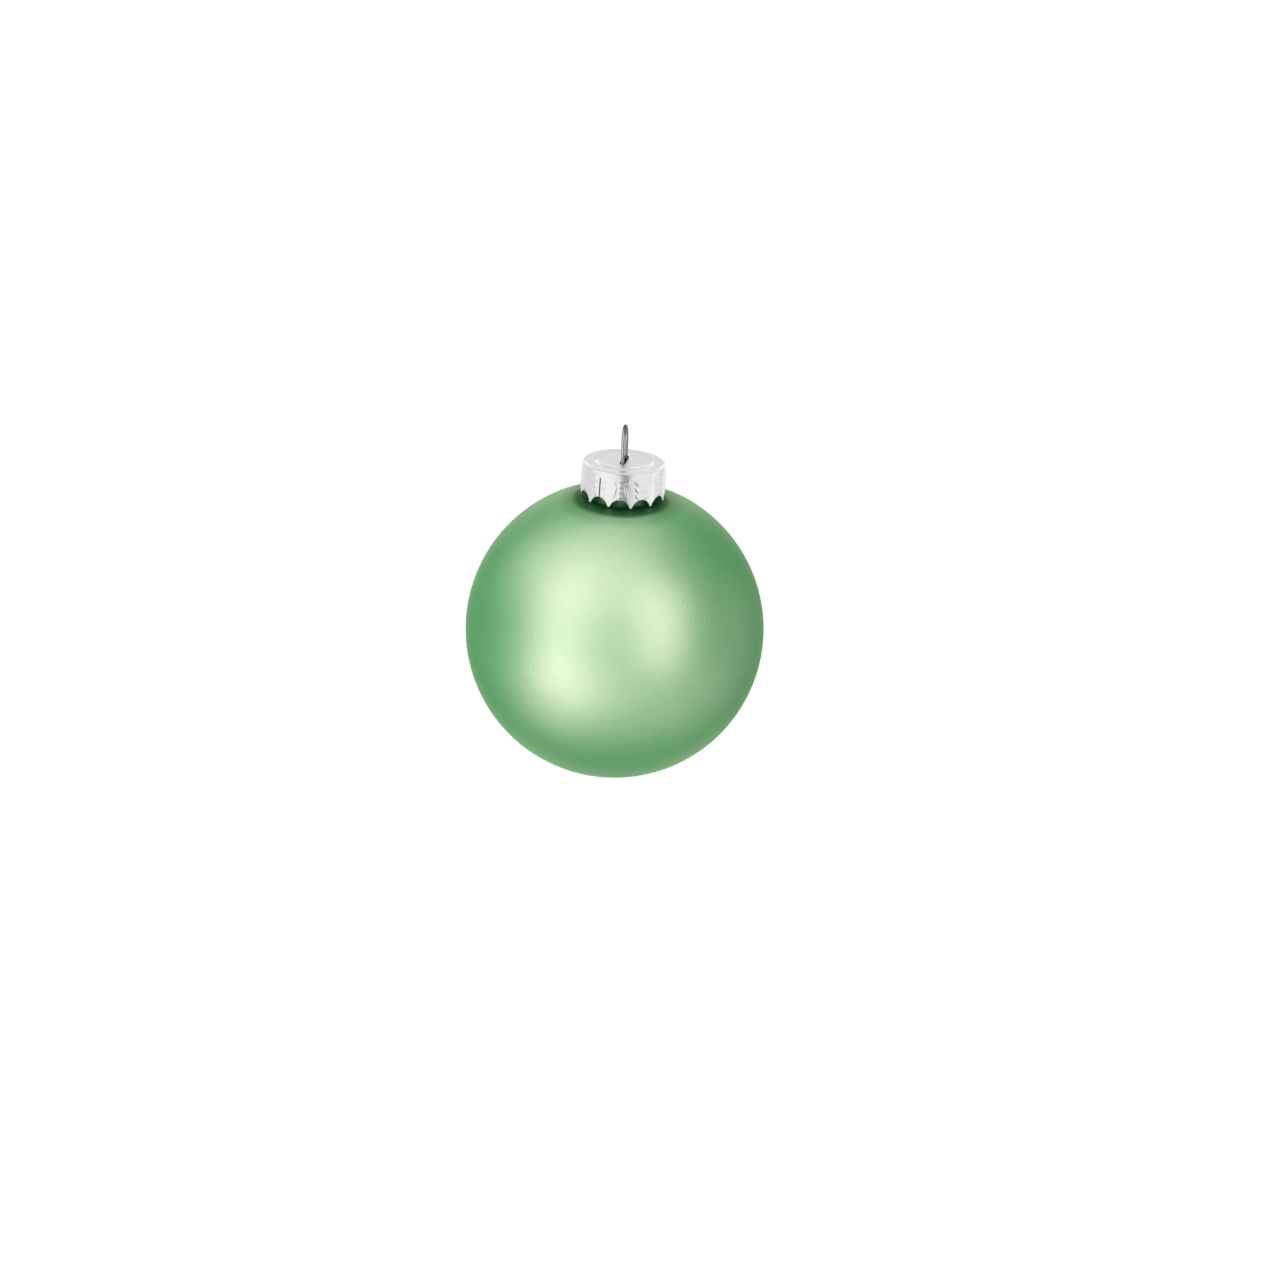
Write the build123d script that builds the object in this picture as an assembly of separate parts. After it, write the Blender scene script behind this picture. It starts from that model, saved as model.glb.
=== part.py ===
from build123d import *
from math import asin, cos, degrees, radians, sin, sqrt
import os

# A blown glass Christmas ball with a stamped metal cap and a spring-wire hanger.
# Row frame, in millimetres: the origin is the inside of the top of the hanger loop, where a hook
# bears. +Z is up, the loop lies in the YZ plane, a hook passes through it along X, -Y is the front.

# Glass ball
BALL_R = 33.5
GLASS = 0.6
BALL_Z = -47.4
SHOULDER_R = 24.0          # the sphere tightens into this radius on its way up to the neck
SHOULDER_START = 60.0      # degrees above the equator where it begins
NECK_R = 7.6
NECK_FILLET = 1.8
LIP_Z = -8.0

# Cap, drawn from thin sheet
SHEET = 0.3
CAP_TOP_R = 9.24
CAP_HEM_R = 9.45
CAP_TOP_Z = -7.6
CAP_H = 7.8
RIM_ROUND = 0.9
BOSS_R = 6.2
BOSS_H = 0.35
BOSS_SLOPE = 0.3
SCALLOPS = 12
SCALLOP_TURN = -10.5       # from +X about Z to a tip; the stamping isn't lined up with the wire slot
NOTCH_R = 2.24
NOTCH_DEPTH = 1.8
SLIT_NOTCH = 8             # the seam's slit runs up from this notch, left of the front
SLIT_W = 0.32
SLIT_TOP = 6.05            # above the hem
SLOT_L = 6.7
SLOT_W = 1.2

# Spring wire
WIRE = 0.7
LOOP_HALF = 2.8            # from the middle of the loop to the middle of the wire
LOOP_END_Z = -7.5
PIVOT_Z = -8.0
LEG_BENDS = ((0, 0), (3.4, 4.5), (3.9, 11.0), (7.0, 17.5))   # outwards and down from the pivot
LEG_BEND_R = 5.0

HEM_Z = CAP_TOP_Z - CAP_H


def glass_ball():
    """A hollow sphere with a tighter shoulder, a filleted neck and a fire-polished lip."""
    start = radians(SHOULDER_START)
    offset = BALL_R - SHOULDER_R
    shoulder = (offset * cos(start), BALL_Z + offset * sin(start))
    fillet_r = NECK_R + NECK_FILLET
    rise = sqrt((SHOULDER_R + NECK_FILLET) ** 2 - (fillet_r - shoulder[0]) ** 2)
    fillet = (fillet_r, shoulder[1] + rise)
    turn = degrees(asin(rise / (SHOULDER_R + NECK_FILLET)))
    lip = (NECK_R - GLASS / 2, LIP_Z - GLASS / 2)
    with BuildPart() as ball:
        with BuildSketch(Plane.XZ):
            with BuildLine():
                for inset in (0, GLASS):
                    CenterArc((0, BALL_Z), BALL_R - inset, -90, 90 + SHOULDER_START)
                    CenterArc(shoulder, SHOULDER_R - inset, SHOULDER_START, turn - SHOULDER_START)
                    CenterArc(fillet, NECK_FILLET + inset, 180, turn)
                    Line((NECK_R - inset, fillet[1]), (NECK_R - inset, lip[1]))
                Line((0, BALL_Z - BALL_R), (0, BALL_Z - BALL_R + GLASS))
                CenterArc(lip, GLASS / 2, 0, 180)
            make_face()
        revolve(axis=Axis.Z)
    return ball.part


def cap():
    """A drawn cup: raised boss, rounded rim and flared skirt, with a scalloped hem."""
    boss_z = CAP_TOP_Z + BOSS_H
    with BuildPart() as cup:
        with BuildSketch(Plane.XZ):
            with BuildLine():
                for inset in (0, SHEET):
                    boss_edge = (BOSS_R - inset, boss_z - inset)
                    boss_foot = (BOSS_R + BOSS_SLOPE - inset, CAP_TOP_Z - inset)
                    rim = (CAP_TOP_R - RIM_ROUND, CAP_TOP_Z - RIM_ROUND)
                    Line((0, boss_z - inset), boss_edge)
                    Line(boss_edge, boss_foot)
                    Line(boss_foot, (rim[0], CAP_TOP_Z - inset))
                    CenterArc(rim, RIM_ROUND - inset, 0, 90)
                    Line((CAP_TOP_R - inset, rim[1]), (CAP_HEM_R - inset, HEM_Z))
                Line((0, boss_z), (0, boss_z - SHEET))
                Line((CAP_HEM_R, HEM_Z), (CAP_HEM_R - SHEET, HEM_Z))
            make_face()
        revolve(axis=Axis.Z)
    body = cup.part
    pitch = 360 / SCALLOPS
    notch = Pos(0, 0, HEM_Z + NOTCH_DEPTH - NOTCH_R) * Rot(0, 90, 0) * Cylinder(NOTCH_R, 3 * CAP_HEM_R)
    for index in range(SCALLOPS // 2):
        # each cutter runs right through, so it makes a notch and the one opposite
        body -= Rot(0, 0, SCALLOP_TURN + pitch * (index + 0.5)) * notch
    slit_bottom = NOTCH_DEPTH - SLIT_W
    slit = Box(4 * SHEET, SLIT_W, SLIT_TOP - slit_bottom, align=(Align.CENTER, Align.CENTER, Align.MIN))
    slit_angle = SCALLOP_TURN + pitch * (SLIT_NOTCH + 0.5)
    body -= Rot(0, 0, slit_angle) * Pos(CAP_HEM_R - SHEET / 2, 0, HEM_Z + slit_bottom) * slit
    body -= Pos(0, 0, CAP_TOP_Z) * extrude(SlotOverall(SLOT_L, SLOT_W, rotation=90), 2, both=True)
    return body


def wire_along(path):
    """Round wire swept along a path that starts at its first point."""
    section = Plane(origin=path @ 0, z_dir=path % 0) * Circle(WIRE / 2)
    return sweep(section, path=path)


def hanger_loop():
    """The arch above the cap, with two straight legs down into the slot."""
    arch_z = WIRE / 2 - LOOP_HALF
    with BuildLine(Plane.YZ) as path:
        Line((-LOOP_HALF, LOOP_END_Z), (-LOOP_HALF, arch_z))
        CenterArc((0, arch_z), LOOP_HALF, 180, -180)
        Line((LOOP_HALF, arch_z), (LOOP_HALF, LOOP_END_Z))
    return wire_along(path.wire())


def spring_leg(side):
    """One splayed leg inside the ball; side is +1 for the back leg and -1 for the front one."""
    points = [(side * (LOOP_HALF + out), PIVOT_Z - down) for out, down in LEG_BENDS]
    with BuildLine(Plane.YZ) as path:
        FilletPolyline(*points, radius=LEG_BEND_R)
    pivot = Pos(0, side * LOOP_HALF, PIVOT_Z) * Sphere(WIRE / 2)
    return wire_along(path.wire()) + pivot


PARTS = {
    "glass_ball": glass_ball(),
    "cap": cap(),
    "hanger_loop": hanger_loop(),
    "front_spring_leg": spring_leg(-1),
    "back_spring_leg": spring_leg(1),
}

os.makedirs("parts", exist_ok=True)
for name, solid in PARTS.items():
    solid.label = name
    export_step(solid, f"parts/{name}.step")
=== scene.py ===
import math

import bpy
import numpy as np
from mathutils import Matrix, Vector


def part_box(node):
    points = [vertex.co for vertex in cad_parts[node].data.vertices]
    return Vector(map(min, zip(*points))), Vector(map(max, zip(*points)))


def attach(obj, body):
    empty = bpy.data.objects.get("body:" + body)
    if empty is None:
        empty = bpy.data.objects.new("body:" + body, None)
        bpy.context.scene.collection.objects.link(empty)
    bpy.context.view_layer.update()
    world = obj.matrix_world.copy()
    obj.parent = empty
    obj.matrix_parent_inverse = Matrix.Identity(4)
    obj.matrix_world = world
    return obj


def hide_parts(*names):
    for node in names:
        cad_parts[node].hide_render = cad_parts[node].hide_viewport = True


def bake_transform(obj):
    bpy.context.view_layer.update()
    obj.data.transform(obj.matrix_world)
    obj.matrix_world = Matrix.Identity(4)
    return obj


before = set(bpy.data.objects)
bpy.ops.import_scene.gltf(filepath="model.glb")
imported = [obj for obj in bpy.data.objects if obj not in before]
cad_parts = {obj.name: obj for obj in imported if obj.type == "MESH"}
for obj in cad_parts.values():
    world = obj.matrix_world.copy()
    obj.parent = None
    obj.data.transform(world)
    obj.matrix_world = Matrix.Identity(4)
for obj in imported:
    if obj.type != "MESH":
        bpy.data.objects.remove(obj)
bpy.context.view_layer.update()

MM = 0.001


# ---------------------------------------------------------------- sizes, from the frame

ball_low, ball_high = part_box("glass_ball")
cap_low, cap_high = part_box("cap")
loop_low, loop_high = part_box("hanger_loop")
leg_low, leg_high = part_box("back_spring_leg")

BALL_R = 33.5 * MM
BALL_Z = ball_low.z + BALL_R
GLASS = 0.6 * MM
SHOULDER_R = 24.0 * MM
SHOULDER_START = math.radians(60)
NECK_R = 7.6 * MM
NECK_FILLET = 1.8 * MM
LIP_Z = ball_high.z

SHEET = 0.3 * MM
CAP_HEM_R = cap_high.x
SKIRT_FLARE = 0.21 * MM
CAP_TOP_R = CAP_HEM_R - SKIRT_FLARE
BOSS_R = 6.2 * MM
BOSS_H = 0.35 * MM
BOSS_SLOPE = 0.3 * MM
CAP_TOP_Z = cap_high.z - BOSS_H
HEM_Z = cap_low.z
RIM_ROUND = 0.9 * MM
SCALLOPS = 12
NOTCH_R = 2.24 * MM
NOTCH_DEPTH = 1.8 * MM
CAP_PITCH = 2 * math.pi / SCALLOPS
SCALLOP_TURN = math.radians(-10.5)
SLIT_ANGLE = SCALLOP_TURN + 8.5 * CAP_PITCH - 2 * math.pi
SLIT_W = 0.32 * MM
SLIT_TOP = 6.05 * MM
SLOT_L = 6.7 * MM
SLOT_W = 1.2 * MM

WIRE_R = loop_high.x
LOOP_HALF = loop_high.y - WIRE_R
ARCH_Z = loop_high.z - WIRE_R - LOOP_HALF
LOOP_END_Z = loop_low.z
PIVOT_Z = leg_high.z - WIRE_R
LEG_BENDS = ((0, 0), (3.4 * MM, 4.5 * MM), (3.9 * MM, 11.0 * MM), (7.0 * MM, 17.5 * MM))
LEG_BEND_R = 5.0 * MM


# ---------------------------------------------------------------- mesh helpers

def new_object(name, vertices, faces, material_index=None):
    mesh = bpy.data.meshes.new(name)
    mesh.from_pydata([tuple(v) for v in vertices], [], faces)
    mesh.polygons.foreach_set("use_smooth", [True] * len(mesh.polygons))
    if material_index is not None:
        mesh.polygons.foreach_set("material_index", material_index)
    mesh.update()
    piece = bpy.data.objects.new(name, mesh)
    bpy.context.scene.collection.objects.link(piece)
    return piece


def arc(centre, radius, start, end, steps):
    """Points (r, z) along an arc, both ends included; angles in radians."""
    angles = np.linspace(start, end, steps + 1)
    return [(centre[0] + radius * math.cos(a), centre[1] + radius * math.sin(a)) for a in angles]


def line(start, end, steps):
    """Points along a straight run, both ends included."""
    start, end = np.array(start), np.array(end)
    return [tuple(start + (end - start) * t) for t in np.linspace(0, 1, steps + 1)]


def joined(*runs):
    """One list of points from several runs, without the point that each shares with the last."""
    points = list(runs[0])
    for run in runs[1:]:
        points += run[1:]
    return points


def apply_modifiers(piece):
    depsgraph = bpy.context.evaluated_depsgraph_get()
    mesh = bpy.data.meshes.new_from_object(piece.evaluated_get(depsgraph))
    piece.modifiers.clear()
    piece.data = mesh
    return piece


# ---------------------------------------------------------------- glass ball

BALL_COLUMNS = 288
LIP_STEPS = 8


def ball_profile(inset):
    """(r, z) of the ball from its bottom to just under the lip, at a depth into the glass."""
    offset = BALL_R - SHOULDER_R
    shoulder = (offset * math.cos(SHOULDER_START), BALL_Z + offset * math.sin(SHOULDER_START))
    fillet_r = NECK_R + NECK_FILLET
    rise = math.sqrt((SHOULDER_R + NECK_FILLET) ** 2 - (fillet_r - shoulder[0]) ** 2)
    turn = math.asin(rise / (SHOULDER_R + NECK_FILLET))
    fillet = (fillet_r, shoulder[1] + rise)
    return joined(
        arc((0, BALL_Z), BALL_R - inset, -math.pi / 2, SHOULDER_START, 120),
        arc(shoulder, SHOULDER_R - inset, SHOULDER_START, turn, 18),
        arc(fillet, NECK_FILLET + inset, math.pi + turn, math.pi, 12),
        line((NECK_R - inset, fillet[1]), (NECK_R - inset, LIP_Z - GLASS / 2), 16),
    )


def make_ball():
    outside = ball_profile(0)
    inside = ball_profile(GLASS)[::-1]
    lip = arc((NECK_R - GLASS / 2, LIP_Z - GLASS / 2), GLASS / 2, 0, math.pi, LIP_STEPS)
    profile = joined(outside, lip, inside)[1:-1]
    rings = len(profile)
    vertices = [(0, 0, BALL_Z - BALL_R), (0, 0, BALL_Z - BALL_R + GLASS)]
    for r, z in profile:
        for column in range(BALL_COLUMNS):
            angle = 2 * math.pi * column / BALL_COLUMNS
            vertices.append((r * math.cos(angle), r * math.sin(angle), z))
    vertices = np.array(vertices)
    first = 2
    faces = []
    for ring in range(rings - 1):
        low = first + ring * BALL_COLUMNS
        high = low + BALL_COLUMNS
        for column in range(BALL_COLUMNS):
            after = (column + 1) % BALL_COLUMNS
            faces.append((low + column, low + after, high + after, high + column))
    last = first + (rings - 1) * BALL_COLUMNS
    for column in range(BALL_COLUMNS):
        after = (column + 1) % BALL_COLUMNS
        faces.append((0, first + after, first + column))
        faces.append((1, last + column, last + after))
    # lacquer on the outside, bare silvered glass from the middle of the lip inwards
    middle = len(outside) - 1 + LIP_STEPS // 2
    index = []
    for face in faces:
        ring = (max(face) - first) // BALL_COLUMNS
        index.append(1 if ring > middle or 1 in face else 0)
    ball = new_object("ornament_ball", vertices, faces, index)
    ball.data.materials.append(green_lacquer_with_painted_shade())
    ball.data.materials.append(silvering())
    return ball


# ---------------------------------------------------------------- cap

CAP_COLUMNS = 480
SKIRT_ROWS = 62
RELIEF = 0.11 * MM
TIP_BEND = (-0.10, 0.14)     # millimetres, the range of the hand-bent tips
SLOT_ROLL = 0.10 * MM        # the slot's punched edge rolls down this far
SLOT_ROLL_WIDTH = 0.22 * MM
BOSS_SOFTNESS = 0.15 * MM    # what the boss's slope gains at each end

# the embossing, in millimetres over the unrolled skirt and degrees
BEAD_R = 0.56
BEAD_HEIGHTS = (2.55, 3.77, 4.99, 6.21)
RIB_LEVEL = 0.6
RIBS = ((1.35, 3.4, 14, 4.0, 0.8), (1.5, 5.6, -38, 1.9, 0.75))   # out, up, lean, length, width
SPRAY = ((0.95, 2.5, -34, 2.1, 0.85), (1.05, 4.05, -40, 2.1, 0.85), (1.15, 5.6, -46, 2.1, 0.85))


def slot_distance(angle):
    """How far the slot's edge is from the middle of the cap, in one direction."""
    x, y = abs(math.cos(angle)), abs(math.sin(angle))
    end = (SLOT_L - SLOT_W) / 2
    if x > 1e-9 and y * SLOT_W / 2 <= end * x:
        return SLOT_W / 2 / x
    along = y * end
    return along + math.sqrt(along * along - end * end + (SLOT_W / 2) ** 2)


def hem_height(angle):
    """The hem's height above the tips: a round notch in each pitch."""
    across = (((angle - SCALLOP_TURN) / CAP_PITCH) % 1.0 - 0.5) * CAP_PITCH * CAP_HEM_R
    drop = NOTCH_R ** 2 - across ** 2
    if drop <= 0:
        return 0.0
    return max(0.0, math.sqrt(drop) + NOTCH_DEPTH - NOTCH_R)


def bead(x, y):
    """A smooth round bump, 1 in the middle and 0 at its edge."""
    d = (x / BEAD_R) ** 2 + (y / BEAD_R) ** 2
    return max(0.0, 1 - d) ** 1.6


def leaf(x, y, cx, cy, slant, length, width):
    """A pointed leaf with a crease down its middle."""
    c, s = math.cos(slant), math.sin(slant)
    along = ((x - cx) * c + (y - cy) * s) / (length / 2)
    across = (-(x - cx) * s + (y - cy) * c) / (width / 2)
    if abs(along) >= 1:
        return 0.0
    edge = 1 - along * along
    d = abs(across) / edge
    if d >= 1:
        return 0.0
    return edge * (1 - d * d) ** 1.3 * (0.75 + 0.25 * min(1.0, d * 3))


def leaves(x, y, kind):
    """The highest of some leaves, which come in pairs to the left and right of a stem."""
    best = 0.0
    for side in (-1, 1):
        for out, up, lean, length, width in kind:
            best = max(best, leaf(x, y, side * out, up, math.radians(90 + side * lean), length, width))
    return best


def relief(angle, height):
    """Height of the embossing, 0 to 1, at an angle and a height above the hem."""
    sector = (angle - SLIT_ANGLE) / CAP_PITCH + 0.5
    index = math.floor(sector)
    x = (sector - index - 0.5) * CAP_PITCH * CAP_HEM_R / MM
    y = height / MM
    if index % 2:
        # a column of beads between fine ribs
        beads = max(bead(x, y - up) for up in BEAD_HEIGHTS)
        return max(beads, RIB_LEVEL * leaves(x, y, RIBS))
    return leaves(x, y, SPRAY)


def cap_profile(angle, tip_bend):
    """(r, z) of the sheet's outside at one angle, from the slot over the rim and down to the hem."""
    boss_z = CAP_TOP_Z + BOSS_H
    boss_start = BOSS_R - BOSS_SOFTNESS
    boss_end = BOSS_R + BOSS_SLOPE + BOSS_SOFTNESS
    flat_end = CAP_TOP_R - RIM_ROUND
    skirt_top = CAP_TOP_Z - RIM_ROUND
    skirt_bottom = HEM_Z + hem_height(angle)
    slot = slot_distance(angle)
    points = []
    for t in np.linspace(0, 1, 9):
        r = slot + (boss_start - slot) * t ** 1.6
        points.append((r, boss_z - SLOT_ROLL * math.exp(-(r - slot) / SLOT_ROLL_WIDTH)))
    for t in np.linspace(0, 1, 7)[1:]:
        points.append((boss_start + (boss_end - boss_start) * t, boss_z - BOSS_H * (t * t * (3 - 2 * t))))
    points += line((boss_end, CAP_TOP_Z), (flat_end, CAP_TOP_Z), 5)[1:]
    points += arc((flat_end, skirt_top), RIM_ROUND, math.pi / 2, 0, 10)[1:]
    for t in np.linspace(0, 1, SKIRT_ROWS + 1)[1:]:
        z = skirt_top + (skirt_bottom - skirt_top) * t
        height = z - HEM_Z
        flare = SKIRT_FLARE * (skirt_top - z) / (skirt_top - HEM_Z)
        tip = max(0.0, 1 - height / NOTCH_DEPTH)
        points.append((CAP_TOP_R + flare + RELIEF * relief(angle, height) + tip_bend * tip * tip, z))
    return points


def make_cap():
    angles = [2 * math.pi * column / CAP_COLUMNS for column in range(CAP_COLUMNS)]
    slit_column = round(SLIT_ANGLE / (2 * math.pi) * CAP_COLUMNS) % CAP_COLUMNS
    half_slit = SLIT_W / 2 / CAP_HEM_R
    for step in (-1, 1):
        angles[slit_column + step] = angles[slit_column] + step * half_slit
    tip_bends = np.random.default_rng(4).uniform(*TIP_BEND, SCALLOPS) * MM
    columns = []
    for angle in angles:
        nearest_tip = round((angle - SCALLOP_TURN) / CAP_PITCH) % SCALLOPS
        c, s = math.cos(angle), math.sin(angle)
        columns.append([(r * c, r * s, z) for r, z in cap_profile(angle, tip_bends[nearest_tip])])
    rows = len(columns[0])
    vertices = [columns[column][row] for row in range(rows) for column in range(CAP_COLUMNS)]
    faces = []
    for row in range(rows - 1):
        for column in range(CAP_COLUMNS):
            after = (column + 1) % CAP_COLUMNS
            in_slit = column in (slit_column, slit_column - 1)
            if in_slit and columns[column][row + 1][2] < HEM_Z + SLIT_TOP and row > rows - SKIRT_ROWS:
                continue
            low, high = row * CAP_COLUMNS, (row + 1) * CAP_COLUMNS
            faces.append((low + column, high + column, high + after, low + after))
    piece = new_object("ornament_cap", vertices, faces)
    thick = piece.modifiers.new("sheet", "SOLIDIFY")
    thick.thickness = SHEET
    thick.offset = -1
    thick.use_even_offset = True
    apply_modifiers(piece)
    piece.data.polygons.foreach_set("use_smooth", [True] * len(piece.data.polygons))
    piece.data.materials.append(stamped_cap())
    return piece


# ---------------------------------------------------------------- spring wire

WIRE_SIDES = 28


def tube(name, points):
    """A round wire along points that all lie in a plane of constant x, with chamfered cut ends."""
    points = [Vector(p) for p in points]
    directions = []
    for i in range(len(points)):
        before, after = points[max(i - 1, 0)], points[min(i + 1, len(points) - 1)]
        directions.append((after - before).normalized())
    side = Vector((1, 0, 0))
    chamfer = WIRE_R * 0.25
    rings = [(points[0], directions[0], WIRE_R - chamfer)]
    rings.append((points[0] + directions[0] * chamfer, directions[0], WIRE_R))
    rings += [(point, direction, WIRE_R) for point, direction in zip(points[1:-1], directions[1:-1])]
    rings.append((points[-1] - directions[-1] * chamfer, directions[-1], WIRE_R))
    rings.append((points[-1], directions[-1], WIRE_R - chamfer))
    vertices = []
    for point, direction, r in rings:
        out = direction.cross(side).normalized()
        for k in range(WIRE_SIDES):
            a = 2 * math.pi * k / WIRE_SIDES
            vertices.append(point + side * (r * math.cos(a)) + out * (r * math.sin(a)))
    faces = []
    for ring in range(len(rings) - 1):
        for k in range(WIRE_SIDES):
            after = (k + 1) % WIRE_SIDES
            low, high = ring * WIRE_SIDES, (ring + 1) * WIRE_SIDES
            faces.append((low + k, high + k, high + after, low + after))
    faces.append(tuple(range(WIRE_SIDES)))
    faces.append(tuple(reversed(range(len(vertices) - WIRE_SIDES, len(vertices)))))
    return new_object(name, vertices, faces)


def filleted(corners, radius, steps):
    """A run of points (y, z) through corners, with an arc of that radius at each inner one."""
    corners = [np.array(c, float) for c in corners]
    points = [corners[0]]
    for before, corner, after in zip(corners, corners[1:], corners[2:]):
        u = (before - corner) / np.linalg.norm(before - corner)
        v = (after - corner) / np.linalg.norm(after - corner)
        half = math.acos(float(np.clip(u @ v, -1, 1))) / 2
        centre = corner + (u + v) / np.linalg.norm(u + v) * radius / math.sin(half)
        first = corner + u * radius / math.tan(half) - centre
        last = corner + v * radius / math.tan(half) - centre
        for t in np.linspace(0, 1, steps + 1):
            spoke = first * (1 - t) + last * t
            points.append(centre + spoke / np.linalg.norm(spoke) * radius)
    points.append(corners[-1])
    return points


def resampled(points, step):
    """The same route with points about one step apart on its straight runs."""
    out = [points[0]]
    for a, b in zip(points, points[1:]):
        count = max(1, round(float(np.linalg.norm(b - a)) / step))
        out += [a + (b - a) * k / count for k in range(1, count + 1)]
    return out


LOOP_LEAN = 0.3 * MM


def make_loop(steel):
    route = joined(
        line((-LOOP_HALF, LOOP_END_Z), (-LOOP_HALF, ARCH_Z), 24),
        arc((0, ARCH_Z), LOOP_HALF, math.pi, 0, 48),
        line((LOOP_HALF, ARCH_Z), (LOOP_HALF, LOOP_END_Z), 24),
    )
    piece = tube("wire_loop", [(0, y, z) for y, z in route])
    for vertex in piece.data.vertices:
        # the arch leans a little out of its plane, as hand-bent wire does
        rise = (vertex.co.z - LOOP_END_Z) / (loop_high.z - LOOP_END_Z)
        vertex.co.x -= LOOP_LEAN * rise ** 1.5
    piece.data.materials.append(steel)
    return piece


def make_leg(name, side, steel):
    """One splayed leg, from where it leaves the loop to its cut end; side is +1 at the back."""
    corners = [(LOOP_HALF, LOOP_END_Z)]
    corners += [(LOOP_HALF + out, PIVOT_Z - down) for out, down in LEG_BENDS[1:]]
    route = resampled(filleted(corners, LEG_BEND_R, 14), 0.4 * MM)
    piece = tube(name, [(0, side * y, z) for y, z in route])
    if side < 0:
        piece.data.flip_normals()
    piece.data.materials.append(steel)
    return piece


# ---------------------------------------------------------------- materials

def material(name):
    """A node material, its nodes and links, and its Principled shader."""
    made = bpy.data.materials.new(name)
    made.use_nodes = True
    return made, made.node_tree.nodes, made.node_tree.links, made.node_tree.nodes["Principled BSDF"]


def coordinates(nodes):
    return nodes.new("ShaderNodeTexCoord").outputs["Object"]


def noise_at(nodes, links, vector, scale, detail=4.0, roughness=0.55):
    node = nodes.new("ShaderNodeTexNoise")
    node.inputs["Scale"].default_value = scale
    node.inputs["Detail"].default_value = detail
    node.inputs["Roughness"].default_value = roughness
    links.new(vector, node.inputs["Vector"])
    return node.outputs["Fac"]


def ramp(nodes, links, factor, stops):
    node = nodes.new("ShaderNodeValToRGB")
    elements = node.color_ramp.elements
    while len(elements) < len(stops):
        elements.new(0.5)
    for element, (position, colour) in zip(elements, stops):
        element.position = position
        element.color = (*colour, 1)
    links.new(factor, node.inputs["Fac"])
    return node.outputs["Color"]


def grey(*stops):
    return [(position, (value, value, value)) for position, value in stops]


def bump(nodes, links, height, distance, strength=1.0, under=None):
    node = nodes.new("ShaderNodeBump")
    node.inputs["Distance"].default_value = distance
    node.inputs["Strength"].default_value = strength
    links.new(height, node.inputs["Height"])
    if under is not None:
        links.new(under, node.inputs["Normal"])
    return node.outputs["Normal"]


NECK_SPAN = 15 * MM
# tilts the painted shade so that it reaches lower in front, as the cap's cast shadow does
SHADE_FRONT_TILT = 0.05            # radians

# how much painted shade the coat gets, by its place on NECK_SPAN: the cap's shadow on the shoulder,
# painted in
PAINTED_SHADE_BAND = (
    (0.40, 1.0), (0.43, 0.7), (0.485, 0.7), (0.498, 1.0), (0.536, 0.9), (0.558, 0.3), (0.63, 0.0),
)
# the colour of the painted shade, a deep green standing in for the cap's shadow
PAINTED_SHADE_GREEN = (0.004, 0.090, 0.024, 1)


def height_from_neck(nodes, links, vector):
    """0 at the cap's top and 1 at NECK_SPAN below it, a little lower in front, where the painted shade of
    the cap reaches further down.
    """
    tilt = nodes.new("ShaderNodeMapping")
    tilt.inputs["Rotation"].default_value = (-SHADE_FRONT_TILT, 0, 0)
    links.new(vector, tilt.inputs["Vector"])
    split = nodes.new("ShaderNodeSeparateXYZ")
    links.new(tilt.outputs["Vector"], split.inputs["Vector"])
    span = nodes.new("ShaderNodeMapRange")
    span.inputs["From Min"].default_value = CAP_TOP_Z
    span.inputs["From Max"].default_value = CAP_TOP_Z - NECK_SPAN
    links.new(split.outputs["Z"], span.inputs["Value"])
    return span.outputs["Result"]


def green_lacquer_with_painted_shade():
    """Satin green lacquer on silvered glass, with painted shade: a deep green ring at the neck that
    stands in for the cap's shadow.
    """
    made, nodes, links, shader = material("green_lacquer_with_painted_shade")
    where = coordinates(nodes)
    cloud = noise_at(nodes, links, where, 90, 3)
    grain = noise_at(nodes, links, where, 5200, 2)
    mottle = noise_at(nodes, links, where, 2400, 3)
    colour = ramp(nodes, links, cloud, [(0.3, (0.012, 0.44, 0.100)), (0.7, (0.020, 0.49, 0.120))])
    # painted shade: a deep green, metallic ring under the cap stands in for the cap's shadow on the
    # shoulder
    painted_shade = ramp(nodes, links, height_from_neck(nodes, links, where), grey(*PAINTED_SHADE_BAND))
    mix = nodes.new("ShaderNodeMix")
    mix.data_type = "RGBA"
    links.new(painted_shade, mix.inputs["Factor"])
    # a Mix node keeps its two colours on inputs 6 and 7 and their mix on output 2
    links.new(colour, mix.inputs[6])
    mix.inputs[7].default_value = PAINTED_SHADE_GREEN
    links.new(mix.outputs[2], shader.inputs["Base Color"])
    # the painted shade also makes the coat metallic there, so it reflects only dark green
    links.new(painted_shade, shader.inputs["Metallic"])
    shader.inputs["IOR"].default_value = 5.5
    links.new(ramp(nodes, links, grain, grey((0.3, 0.42), (0.7, 0.48))), shader.inputs["Roughness"])
    shader.inputs["Specular Tint"].default_value = (1.0, 0.83, 0.76, 1)
    fine = bump(nodes, links, grain, 0.012 * MM, 0.5)
    links.new(bump(nodes, links, mottle, 0.10 * MM, 0.7, under=fine), shader.inputs["Normal"])
    shader.inputs["Sheen Weight"].default_value = 0.3
    shader.inputs["Sheen Roughness"].default_value = 0.5
    shader.inputs["Sheen Tint"].default_value = (0.04, 0.60, 0.14, 1)
    return made


def silvering():
    """Bare glass with the silver coat behind it, as seen inside the neck."""
    made, nodes, links, shader = material("inside_silvering")
    where = coordinates(nodes)
    cloud = noise_at(nodes, links, where, 220, 5)
    links.new(ramp(nodes, links, cloud, grey((0.35, 0.52), (0.65, 0.74))), shader.inputs["Base Color"])
    shader.inputs["Metallic"].default_value = 1.0
    links.new(ramp(nodes, links, cloud, grey((0.3, 0.34), (0.7, 0.22))), shader.inputs["Roughness"])
    return made


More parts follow.
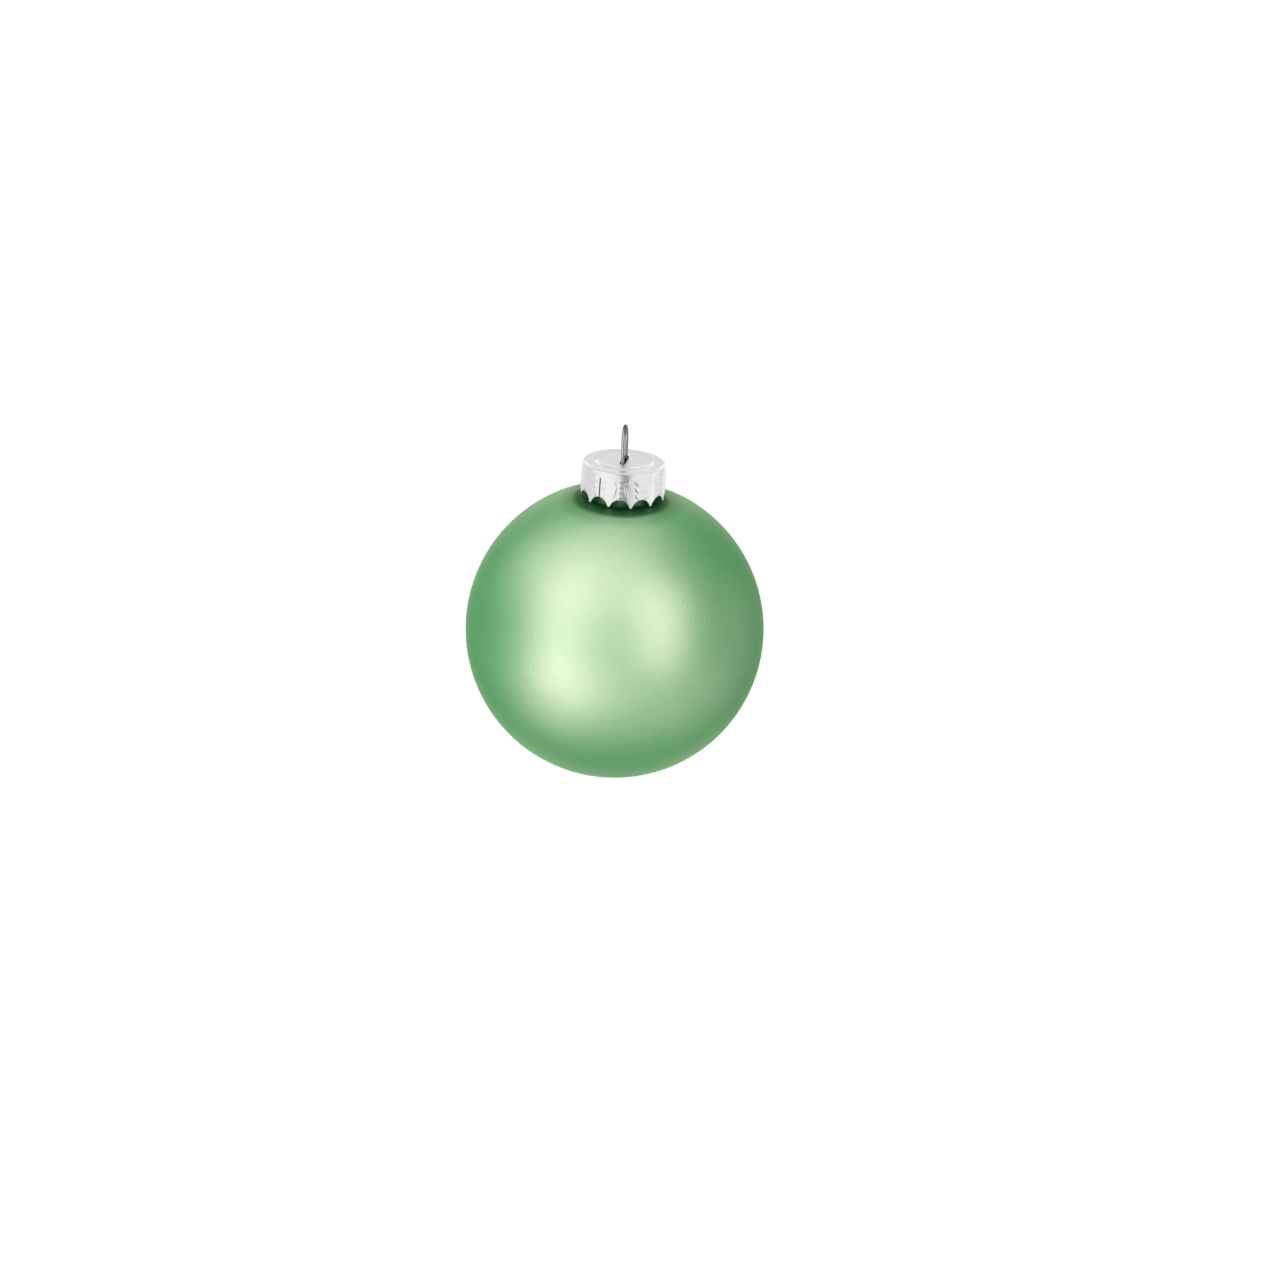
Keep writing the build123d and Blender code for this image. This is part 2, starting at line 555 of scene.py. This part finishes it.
def stamped_cap():
    """Bright aluminium sheet with drawing marks and handling scuffs."""
    made, nodes, links, shader = material("stamped_cap")
    where = coordinates(nodes)
    stretch = nodes.new("ShaderNodeMapping")
    stretch.inputs["Scale"].default_value = (1, 1, 0.12)
    links.new(where, stretch.inputs["Vector"])
    drawn = noise_at(nodes, links, stretch.outputs["Vector"], 4200, 4, 0.6)
    cloud = noise_at(nodes, links, where, 420, 4)
    links.new(ramp(nodes, links, cloud, grey((0.3, 0.86), (0.7, 0.93))), shader.inputs["Base Color"])
    shader.inputs["Metallic"].default_value = 1.0
    links.new(ramp(nodes, links, cloud, grey((0.3, 0.34), (0.7, 0.26))), shader.inputs["Roughness"])
    links.new(bump(nodes, links, drawn, 0.006 * MM, 0.4), shader.inputs["Normal"])
    return made


def drawn_steel():
    """Grey spring wire with fine lines along it."""
    made, nodes, links, shader = material("drawn_steel")
    where = coordinates(nodes)
    stretch = nodes.new("ShaderNodeMapping")
    stretch.inputs["Scale"].default_value = (1, 1, 0.06)
    links.new(where, stretch.inputs["Vector"])
    lines = noise_at(nodes, links, stretch.outputs["Vector"], 9000, 3)
    cloud = noise_at(nodes, links, where, 900, 4)
    greys = [(0.3, (0.30, 0.29, 0.28)), (0.7, (0.44, 0.43, 0.42))]
    links.new(ramp(nodes, links, cloud, greys), shader.inputs["Base Color"])
    shader.inputs["Metallic"].default_value = 1.0
    links.new(ramp(nodes, links, lines, grey((0.3, 0.36), (0.7, 0.22))), shader.inputs["Roughness"])
    links.new(bump(nodes, links, lines, 0.008 * MM, 0.6), shader.inputs["Normal"])
    return made


# ---------------------------------------------------------------- pieces

ball = make_ball()
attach(ball, "ball")
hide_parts("glass_ball")

cap = make_cap()
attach(cap, "cap")
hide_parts("cap")

steel = drawn_steel()
loop = make_loop(steel)
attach(loop, "hanger")
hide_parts("hanger_loop")

legs = []
for leg_name, side in (("front", -1), ("back", 1)):
    leg = make_leg(f"wire_{leg_name}_leg", side, steel)
    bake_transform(leg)
    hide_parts(f"{leg_name}_spring_leg")
    legs.append(leg)


# ---------------------------------------------------------------- camera, stage and light

BALL_CENTRE = Vector((0, 0, BALL_Z))
CAMERA_DISTANCE = 0.680
CAMERA_AZIMUTH = 7.5
CAMERA_ELEVATION = 21.6
CAMERA_ROLL = 3.3          # the ornament hangs a little clockwise in the picture
CAMERA_PAN = 0.480         # the ball sits this far left of the picture's middle, in degrees
CAMERA_TILT = 0.213        # and this far above it
LAMP_DISTANCE = 0.9


def view_axes():
    """Right, up and back of a camera that looks straight at the ball."""
    a, e = math.radians(CAMERA_AZIMUTH), math.radians(CAMERA_ELEVATION)
    back = Vector((math.sin(a) * math.cos(e), -math.cos(a) * math.cos(e), math.sin(e)))
    level = Vector((0, 0, 1)).cross(back).normalized()
    plumb = back.cross(level)
    roll = math.radians(CAMERA_ROLL)
    right = level * math.cos(roll) + plumb * math.sin(roll)
    up = plumb * math.cos(roll) - level * math.sin(roll)
    return right, up, back


def make_camera():
    data = bpy.data.cameras.new("camera")
    data.sensor_width = 36.0
    data.lens = 85.0
    data.clip_start = 0.01
    data.clip_end = 50
    camera = bpy.data.objects.new("camera", data)
    bpy.context.scene.collection.objects.link(camera)
    right, up, back = view_axes()
    axes = Matrix((right, up, back)).transposed().to_4x4()
    pan = Matrix.Rotation(math.radians(-CAMERA_PAN), 4, "Y")
    tilt = Matrix.Rotation(math.radians(-CAMERA_TILT), 4, "X")
    place = Matrix.Translation(BALL_CENTRE + back * CAMERA_DISTANCE)
    camera.matrix_world = place @ axes @ pan @ tilt
    bpy.context.scene.camera = camera


def softbox(name, azimuth, elevation, width, height, radiance, receivers):
    """A soft panel aimed at the ball, which lights only its receivers. Its place and size are angles
    seen from the ball, counted from the camera's line of sight; radiance is what a mirror would show."""
    right, up, back = view_axes()
    a, e = math.radians(azimuth), math.radians(elevation)
    outward = (right * math.sin(a) + back * math.cos(a)) * math.cos(e) + up * math.sin(e)
    data = bpy.data.lights.new(name, "AREA")
    data.shape = "RECTANGLE"
    data.size = 2 * LAMP_DISTANCE * math.tan(math.radians(width / 2))
    data.size_y = 2 * LAMP_DISTANCE * math.tan(math.radians(height / 2))
    data.energy = radiance * math.pi * data.size * data.size_y
    lamp = bpy.data.objects.new(name, data)
    bpy.context.scene.collection.objects.link(lamp)
    across = up.cross(outward).normalized()
    axes = Matrix((across, outward.cross(across), outward)).transposed().to_4x4()
    lamp.matrix_world = Matrix.Translation(BALL_CENTRE + outward * LAMP_DISTANCE) @ axes
    lamp.visible_camera = False
    lamp.light_linking.receiver_collection = receivers


def light(name, pieces, lamps):
    """Soft panels for these pieces alone."""
    receivers = bpy.data.collections.new(name)
    for piece in pieces:
        receivers.objects.link(piece)
    for lamp in lamps:
        softbox(*lamp, receivers)


FLOOR_DROP = 0.22          # below the ball's centre
FLOOR_R = 2.2
SWEEP_ROUND = 1.2
WALL_TOP = 5.0             # above the floor
SWEEP_COLUMNS = 64


def make_stage():
    """A pale floor that sweeps up into a pale wall all round, well clear of the ball."""
    floor_z = BALL_Z - FLOOR_DROP
    wall_r = FLOOR_R + SWEEP_ROUND
    profile = joined(
        line((0, floor_z), (FLOOR_R, floor_z), 4),
        arc((FLOOR_R, floor_z + SWEEP_ROUND), SWEEP_ROUND, -math.pi / 2, 0, 12),
        line((wall_r, floor_z + SWEEP_ROUND), (wall_r, floor_z + WALL_TOP), 3),
    )[1:]
    vertices = [(0, 0, floor_z)]
    for r, z in profile:
        for column in range(SWEEP_COLUMNS):
            angle = 2 * math.pi * column / SWEEP_COLUMNS
            vertices.append((r * math.cos(angle), r * math.sin(angle), z))
    faces = [(0, 1 + k, 1 + (k + 1) % SWEEP_COLUMNS) for k in range(SWEEP_COLUMNS)]
    for ring in range(len(profile) - 1):
        low, high = 1 + ring * SWEEP_COLUMNS, 1 + (ring + 1) * SWEEP_COLUMNS
        for column in range(SWEEP_COLUMNS):
            after = (column + 1) % SWEEP_COLUMNS
            faces.append((low + column, high + column, high + after, low + after))
    sweep = new_object("sweep", vertices, faces)
    made, _, _, shader = material("pale_sweep")
    shader.inputs["Base Color"].default_value = (0.9, 0.9, 0.9, 1)
    shader.inputs["Roughness"].default_value = 1.0
    shader.inputs["Specular IOR Level"].default_value = 0.0
    shader.inputs["Emission Color"].default_value = (1, 1, 1, 1)
    shader.inputs["Emission Strength"].default_value = 0.95
    sweep.data.materials.append(made)
    sweep.visible_glossy = False
    sweep.visible_diffuse = False
    sweep.visible_shadow = False


def make_world(strength):
    world = bpy.data.worlds.new("studio")
    world.use_nodes = True
    background = world.node_tree.nodes["Background"]
    background.inputs["Color"].default_value = (1, 1, 1, 1)
    background.inputs["Strength"].default_value = strength
    bpy.context.scene.world = world


# name, azimuth, elevation, width, height (all in degrees), radiance
COAT_LAMPS = (
    ("left_panel", -43, -2, 36, 84, 1.80),
    ("upper_left", -74, 42, 46, 38, 0.75),
    ("lower_left", -70, -44, 46, 38, 0.70),
    ("left_spot", -60, -32, 16, 18, 1.7),
    ("overhead_front", -8, 38, 52, 44, 1.15),
    ("right_panel", 34, 2, 31, 64, 2.35),
    ("right_side", 105, -10, 40, 60, 0.22),
    ("lower_right", 72, -45, 50, 40, 0.38),
    ("low_front", -16, -46, 44, 32, 1.05),
    ("front_left_fill", -12, 2, 26, 36, 0.75),
    ("top_panel", 0, 74, 60, 34, 0.75),
    ("bottom_panel", 0, -74, 70, 34, 0.33),
    ("back_panel", 180, 5, 52, 84, 0.75),
)
# bright metal only looks bright in a white tent, which would wash out the coated glass
METAL_LAMPS = (
    ("tent_left", -47, 0, 84, 100, 0.85),
    ("tent_right", 58, 0, 84, 100, 0.75),
    ("tent_far_left", -120, 0, 60, 100, 0.62),
    ("tent_far_right", 125, 0, 60, 100, 0.62),
    ("tent_back", 180, 10, 70, 100, 0.55),
    ("tent_top", 0, 89.9, 80, 80, 0.6),
)

make_camera()
make_stage()
make_world(0.13)
light("coated", (ball, loop, *legs), COAT_LAMPS)
light("metal", (cap,), METAL_LAMPS)
bpy.context.scene.view_settings.view_transform = "Standard"
